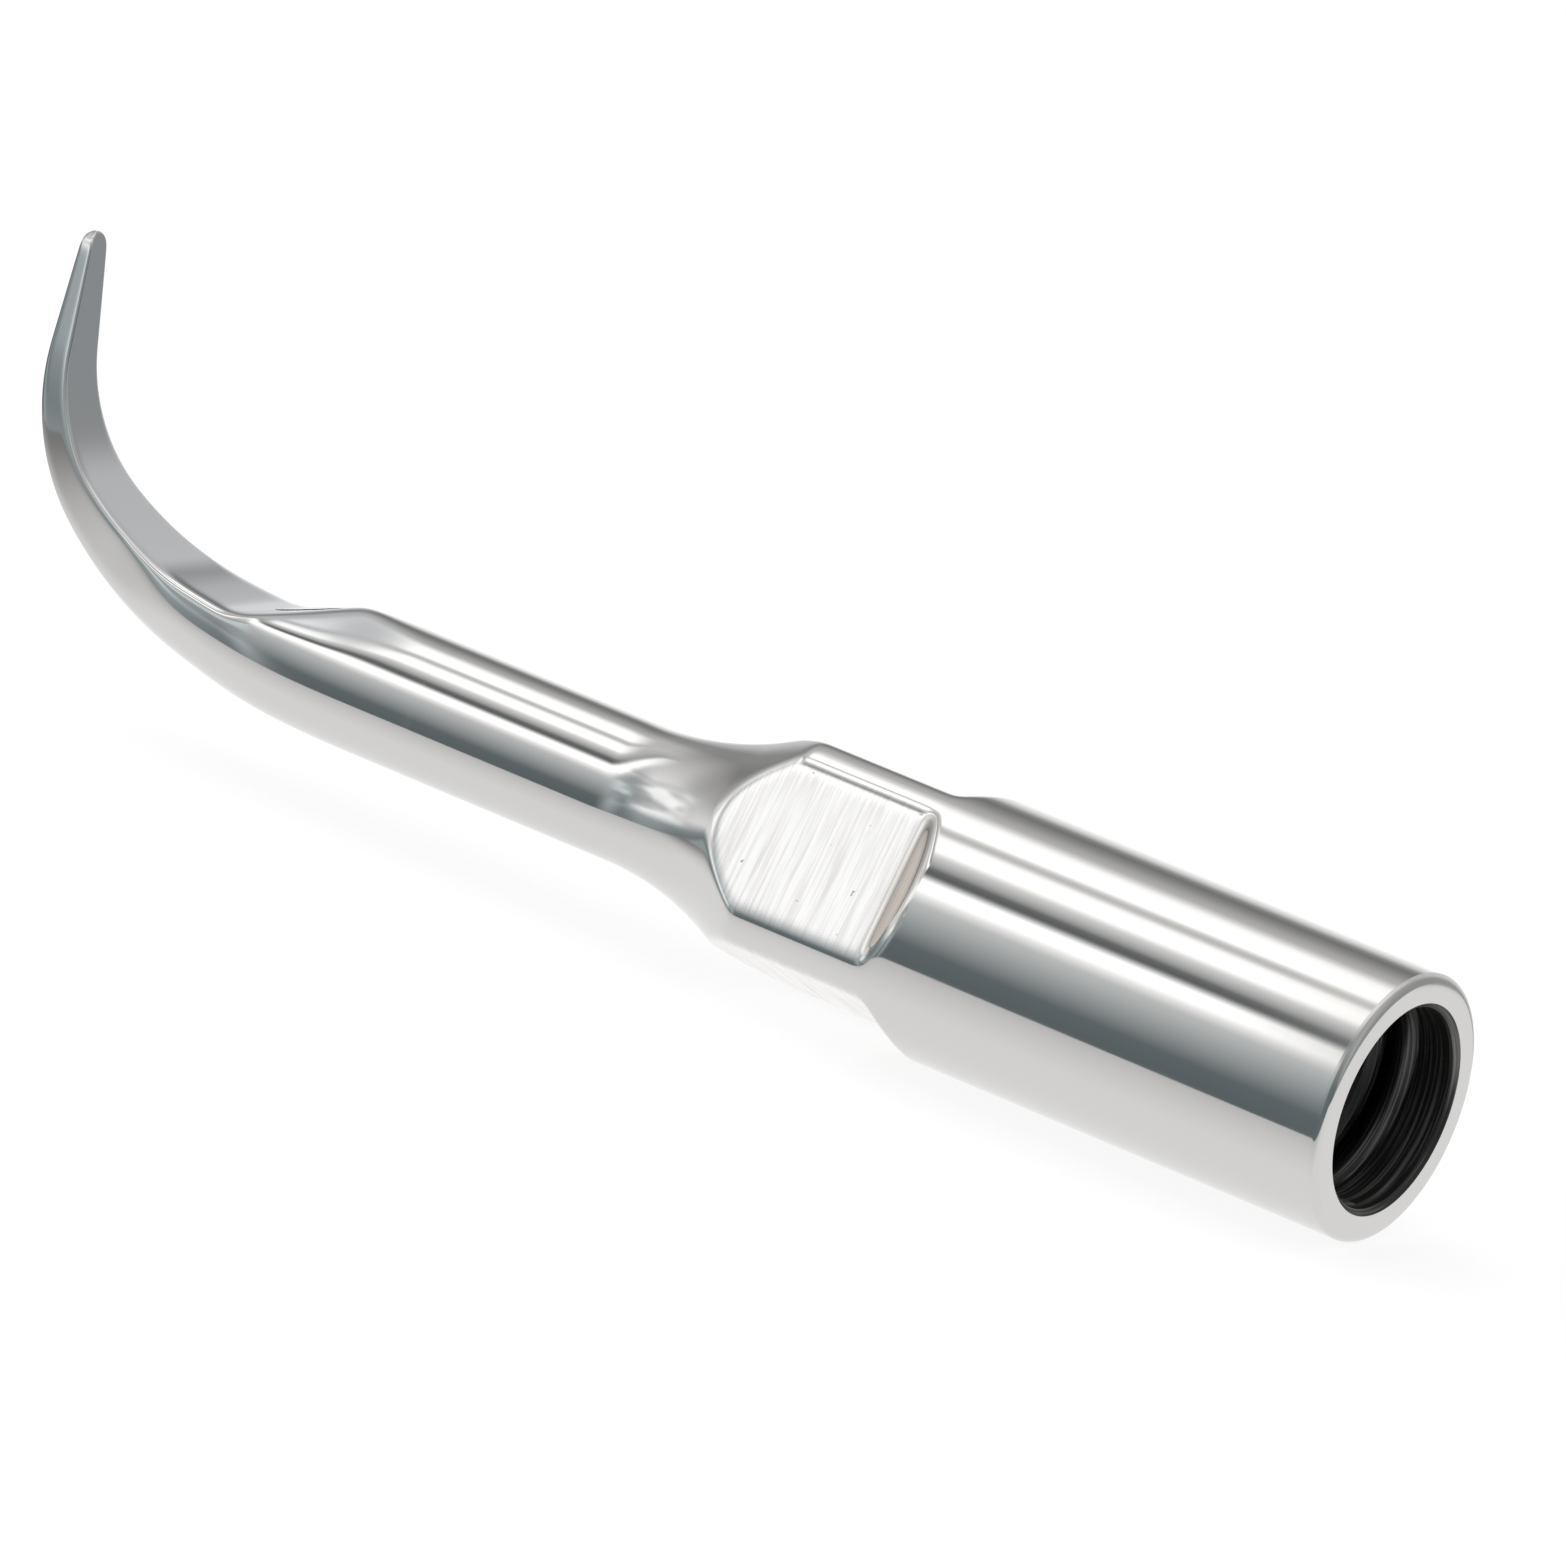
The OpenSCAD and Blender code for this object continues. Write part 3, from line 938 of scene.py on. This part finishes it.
# %% Hook: sizes
step_ahead = 0.46
bevel_back = 0.5
taper_offset = 1.78
side_offset = 1.5
grind_slope = math.tan(math.radians(23.4))
hook_sizes = {
    "Shank radius": shank_r,
    "End radius": end_r,
    "Length": tip_length,
    "Taper from": tip_lead + taper_offset,
    "Taper rounding": 0.12,
    "Ramp from": tip_lead + step_ahead,
    "Ramp slope": grind_slope,
    "Ramp rounding": 0.15,
    "Face share": 0.31,
    "End face share": 0.43,
    "Bevel from": tip_lead - bevel_back,
    "Bevel slope": math.tan(math.radians(4.2)),
    "Bevel turn": math.radians(30),
    "Side from": tip_lead + side_offset,
    "Side run": 3.2,
    "Side share": 0.84,
    "Side lean": math.radians(14),
    "Edge rounding": 0.15,
    "Tumbling": 18,
    "Sides": 320,
    "Material": ground_steel,
}
print("hook:", len(hook_sizes), "inputs")

# %% [markdown]
# First the tree gets the sweep, and the values that each point needs: how far along the line it is, where the
# line runs there, and at which angle round the line it lies.

# %% Hook tree: sweep
tree = new_tree("ground_hook", hook_sizes)
given = add_node(tree, "NodeGroupInput").outputs
curve = add_node(tree, "GeometryNodeMeshToCurve", {"Mesh": given["Geometry"]})
on_line = add_node(tree, "GeometryNodeCaptureAttribute", {"Geometry": curve}, domain="POINT")
walked_source = add_node(tree, "GeometryNodeSplineParameter").outputs["Length"]
centre_source = add_node(tree, "GeometryNodeInputPosition").outputs[0]
ahead_source = add_node(tree, "GeometryNodeInputTangent").outputs[0]
for kind, name, source in (
    ("FLOAT", "walked", walked_source),
    ("VECTOR", "centre", centre_source),
    ("VECTOR", "ahead", ahead_source),
):
    on_line.capture_items.new(kind, name)
    tree.links.new(source, on_line.inputs[name])
circle = add_node(tree, "GeometryNodeCurvePrimitiveCircle", {"Resolution": given["Sides"], "Radius": 1.0})
on_circle = add_node(tree, "GeometryNodeCaptureAttribute", {"Geometry": circle}, domain="POINT")
on_circle.capture_items.new("FLOAT", "share")
share_source = add_node(tree, "GeometryNodeSplineParameter").outputs["Factor"]
tree.links.new(share_source, on_circle.inputs["share"])
tube = add_node(
    tree, "GeometryNodeCurveToMesh", {"Curve": on_line, "Profile Curve": on_circle, "Fill Caps": True}
)

walked = on_line.outputs["walked"]
around = add_node(tree, MATH, [on_circle.outputs["share"], 2 * math.pi], operation="MULTIPLY")
up = add_node(tree, MATH, [around], operation="SINE")
across = add_node(tree, MATH, [around], operation="COSINE")
beside = add_node(tree, MATH, [across], operation="ABSOLUTE")
print("hook tree:", len(tree.nodes), "nodes for the sweep")

# %% [markdown]
# Each limit of the section is a distance from the middle line: the back is round, and the others are planes,
# which are further away the more they are seen at a slant. First come the distances themselves, as they
# change along the line.

# %% Hook tree: limits of the section
def tapering(start, end, clamp):
    """Value that goes from start to end over the taper, and stays at the start before it if clamped."""
    taper = [given["Taper from"], given["Length"]]
    return add_node(tree, MAP_RANGE, [walked, *taper, start, end], clamp=clamp)


def falling(start, slope):
    """Distance that equals the shank's radius at a start, and falls from there at a slope."""
    left = add_node(tree, MATH, [start, walked], operation="SUBTRACT")
    return add_node(tree, MATH, [left, slope, given["Shank radius"]], operation="MULTIPLY_ADD")


cone = tapering(given["Shank radius"], given["End radius"], clamp=False)
back = add_node(
    tree, MATH, [given["Shank radius"], cone, given["Taper rounding"]], operation="SMOOTH_MIN"
)
ramp = falling(given["Ramp from"], given["Ramp slope"])
share = tapering(given["Face share"], given["End face share"], clamp=True)
low_face = add_node(tree, MATH, [back, share], operation="MULTIPLY")
face = add_node(tree, MATH, [ramp, low_face, given["Ramp rounding"]], operation="SMOOTH_MAX")
bevel = falling(given["Bevel from"], given["Bevel slope"])
side_end = add_node(tree, MATH, [given["Side from"], given["Side run"]], operation="ADD")
spread = add_node(tree, MAP_RANGE, [walked, given["Side from"], side_end], **SMOOTH)
full_angle = add_node(tree, MATH, [given["Side share"]], operation="ARCCOSINE")
half_angle = add_node(tree, MATH, [full_angle, spread], operation="MULTIPLY")
narrowed = add_node(tree, MATH, [half_angle], operation="COSINE")
flat_side = add_node(tree, MATH, [back, narrowed], operation="MULTIPLY")
print("hook tree:", len(tree.nodes), "nodes with the limits")

# %% [markdown]
# A smooth minimum keeps the nearest limit and rounds the edge between two of them. The rounding starts small
# at the shank, so the joint is a true circle, and shrinks with the taper. Where the sides have not begun,
# they are kept clear of the back. The share of the ground face is worked out for the material.

# %% Hook tree: section
LEAST_SINE = 0.02
JOINT_ROUNDING = 0.05
GROUND_EDGE = 0.5


def to_plane(distance, sine):
    """Distance to a plane, for the sine of the angle at which the middle line sees it."""
    seen = add_node(tree, MATH, [sine, LEAST_SINE], operation="MAXIMUM")
    return add_node(tree, MATH, [distance, seen], operation="DIVIDE")


def turned_sine(first, second, angle):
    """First times the cosine of an angle, plus second times its sine."""
    sine = add_node(tree, MATH, [angle], operation="SINE")
    cosine = add_node(tree, MATH, [angle], operation="COSINE")
    part = add_node(tree, MATH, [second, sine], operation="MULTIPLY")
    return add_node(tree, MATH, [first, cosine, part], operation="MULTIPLY_ADD")


grown = add_node(tree, MAP_RANGE, [walked, 0, given["Ramp from"], JOINT_ROUNDING])
thinned = add_node(tree, MATH, [back, given["Shank radius"]], operation="DIVIDE")
thin_edge = add_node(tree, MATH, [given["Edge rounding"], thinned], operation="MULTIPLY")
rounding = add_node(tree, MATH, [thin_edge, grown], operation="MULTIPLY")
not_spread = add_node(tree, MATH, [1.0, spread], operation="SUBTRACT")
side = add_node(tree, MATH, [not_spread, rounding, flat_side], operation="MULTIPLY_ADD")
lean = add_node(tree, MATH, [given["Side lean"], -1.0], operation="MULTIPLY")

to_face = to_plane(face, up)
to_bevel = to_plane(bevel, turned_sine(up, beside, given["Bevel turn"]))
to_side = to_plane(side, turned_sine(beside, up, lean))
ground_part = add_node(tree, MATH, [to_face, to_bevel, rounding], operation="SMOOTH_MIN")
round_part = add_node(tree, MATH, [back, to_side, rounding], operation="SMOOTH_MIN")
section = add_node(tree, MATH, [round_part, ground_part, rounding], operation="SMOOTH_MIN")
past_edge = add_node(tree, MATH, [round_part, ground_part], operation="SUBTRACT")
depth_ground = add_node(tree, MATH, [past_edge, rounding], operation="DIVIDE")
how_ground = add_node(tree, MAP_RANGE, [depth_ground, -GROUND_EDGE, GROUND_EDGE])
print("hook tree:", len(tree.nodes), "nodes with the section")

# %% [markdown]
# The nose shrinks the section along a quarter circle. Then each point of the tube is moved: from its centre
# on the middle line, up and sideways by the distance found for it. The points are tumbled by a blur, which
# starts a little after the joint with the shank. The share of the ground face is kept as an attribute.

# %% Hook tree: shape and mesh
TUMBLED_FROM = 0.1
TUMBLED_FULL = 0.4
SAME_RING = 1e-4
SIDEWAYS = (0, 1, 0)

nose_start = add_node(tree, MATH, [given["Length"], given["End radius"]], operation="SUBTRACT")
past_nose = add_node(tree, MATH, [walked, nose_start], operation="SUBTRACT")
in_nose = add_node(tree, MATH, [past_nose, given["End radius"]], operation="DIVIDE", use_clamp=True)
squared = add_node(tree, MATH, [in_nose, in_nose], operation="MULTIPLY")
left_over = add_node(tree, MATH, [1.0, squared], operation="SUBTRACT")
nose = add_node(tree, MATH, [left_over], operation="SQRT")
reach = add_node(tree, MATH, [section, nose], operation="MULTIPLY")
up_reach = add_node(tree, MATH, [up, reach], operation="MULTIPLY")
across_reach = add_node(tree, MATH, [across, reach], operation="MULTIPLY")

upwards = add_node(tree, VECTOR_MATH, [on_line.outputs["ahead"], SIDEWAYS], operation="CROSS_PRODUCT")
lift = add_node(tree, VECTOR_MATH, {0: upwards, "Scale": up_reach}, operation="SCALE")
shift = add_node(tree, VECTOR_MATH, {0: SIDEWAYS, "Scale": across_reach}, operation="SCALE")
lifted = add_node(tree, VECTOR_MATH, [on_line.outputs["centre"], lift], operation="ADD")
place = add_node(tree, VECTOR_MATH, [lifted, shift], operation="ADD")
shaped = add_node(tree, "GeometryNodeSetPosition", {"Geometry": tube, "Position": place})
marked = add_node(
    tree,
    "GeometryNodeStoreNamedAttribute",
    {"Geometry": shaped, "Name": "ground", "Value": how_ground},
    data_type="FLOAT",
    domain="POINT",
)
closed = add_node(tree, "GeometryNodeMergeByDistance", {"Geometry": marked, "Distance": SAME_RING})
weight = add_node(tree, MAP_RANGE, [walked, TUMBLED_FROM, TUMBLED_FULL])
here = add_node(tree, "GeometryNodeInputPosition")
blurred = add_node(
    tree,
    "GeometryNodeBlurAttribute",
    {"Value": here, "Iterations": given["Tumbling"], "Weight": weight},
    data_type="FLOAT_VECTOR",
)
softened = add_node(tree, "GeometryNodeSetPosition", {"Geometry": closed, "Position": blurred})
smooth = add_node(tree, "GeometryNodeSetShadeSmooth", {"Geometry": softened, "Shade Smooth": True})
real = add_node(tree, "GeometryNodeRealizeInstances", {"Geometry": smooth})
dressed = add_node(tree, "GeometryNodeSetMaterial", {"Geometry": real, "Material": given["Material"]})
add_node(tree, "NodeGroupOutput", {"Geometry": dressed})

run_tree(working_end, tree, hook_sizes)
working_end.data.set_sharp_from_angle(angle=SHARP)
print("working end:", len(tree.nodes), "nodes,", len(working_end.data.polygons), "faces")

# %% [markdown]
# ## Finishes
# The hook has its metal from the tree, and the other pieces get theirs here. The inside of the socket has a
# second metal, the dark one with painted shade, which goes to every face near the axis except the front end.

# %% Finishes
INSIDE = 1
END_GAP = 0.001

socket.data.materials.append(polished)
socket.data.materials.append(painted_shade_bore_steel)
for polygon in socket.data.polygons:
    from_axis = math.hypot(polygon.center.y, polygon.center.z)
    if from_axis < bore_r + mouth_chamfer and polygon.center.x < socket_end - END_GAP:
        polygon.material_index = INSIDE
collar.data.materials.append(milled_steel)
neck.data.materials.append(polished)
shank.data.materials.append(polished)
inside_faces = sum(polygon.material_index == INSIDE for polygon in socket.data.polygons)
print("inside the socket:", inside_faces, "faces of dull steel")

# %% [markdown]
# ## Water channel
# Cooling water runs from the bottom of the socket through a fine hole, and leaves on the ramp of the ground
# face. One long drill is taken out of every section with a Boolean modifier. The drill wears the bore's dark
# metal with its painted shade, and hands it on to the walls that it cuts.

# %% Water channel
channel_r = 0.4 / 2
channel_rise = 0.68
step_x = tip_start + tip_lead + step_ahead
outlet_x = step_x + (shank_r - channel_rise + 2 * channel_r) / grind_slope
CHANNEL_SIDES = 48

raise_drill = np.array([0.0, 0.0, channel_rise])
drill_rings = [ring(x, channel_r, CHANNEL_SIDES) + raise_drill for x in (bore_end, outlet_x)]
drill = solid_from_rings("drill", drill_rings)
drill.data.materials.append(painted_shade_bore_steel)
for piece in (socket, collar, neck, shank, working_end):
    cut = piece.modifiers.new("channel", "BOOLEAN")
    cut.operation = "DIFFERENCE"
    cut.solver = "EXACT"
    cut.material_mode = "TRANSFER"
    cut.object = drill
    evaluated_mesh(piece)
    piece.data.set_sharp_from_angle(angle=SHARP)
bpy.data.objects.remove(drill)
print("channel drilled from", round(bore_end, 2), "to", round(outlet_x, 2), "mm")

# %% [markdown]
# ## Frame
# Every piece is brought to metres and tied to the frame: it rides on the one rigid body, and takes the place
# of its CAD section, which is hidden.

# %% Frame
dressed_nodes = [
    (socket, "threaded_socket", "polished_steel"),
    (collar, "wrench_collar", "brushed_flats"),
    (neck, "flared_neck", "polished_steel"),
    (shank, "shank", "polished_steel"),
    (working_end, "working_tip", "ground_steel"),
]
for piece in [thread] + [piece for piece, _, _ in dressed_nodes]:
    piece.data.transform(Matrix.Scale(MM, 4))
    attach(piece, "root")
for piece, node, slot in dressed_nodes:
    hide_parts(node)
triangles = {p.name: sum(len(f.vertices) - 2 for f in p.data.polygons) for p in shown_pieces()}
print("triangles:", triangles)
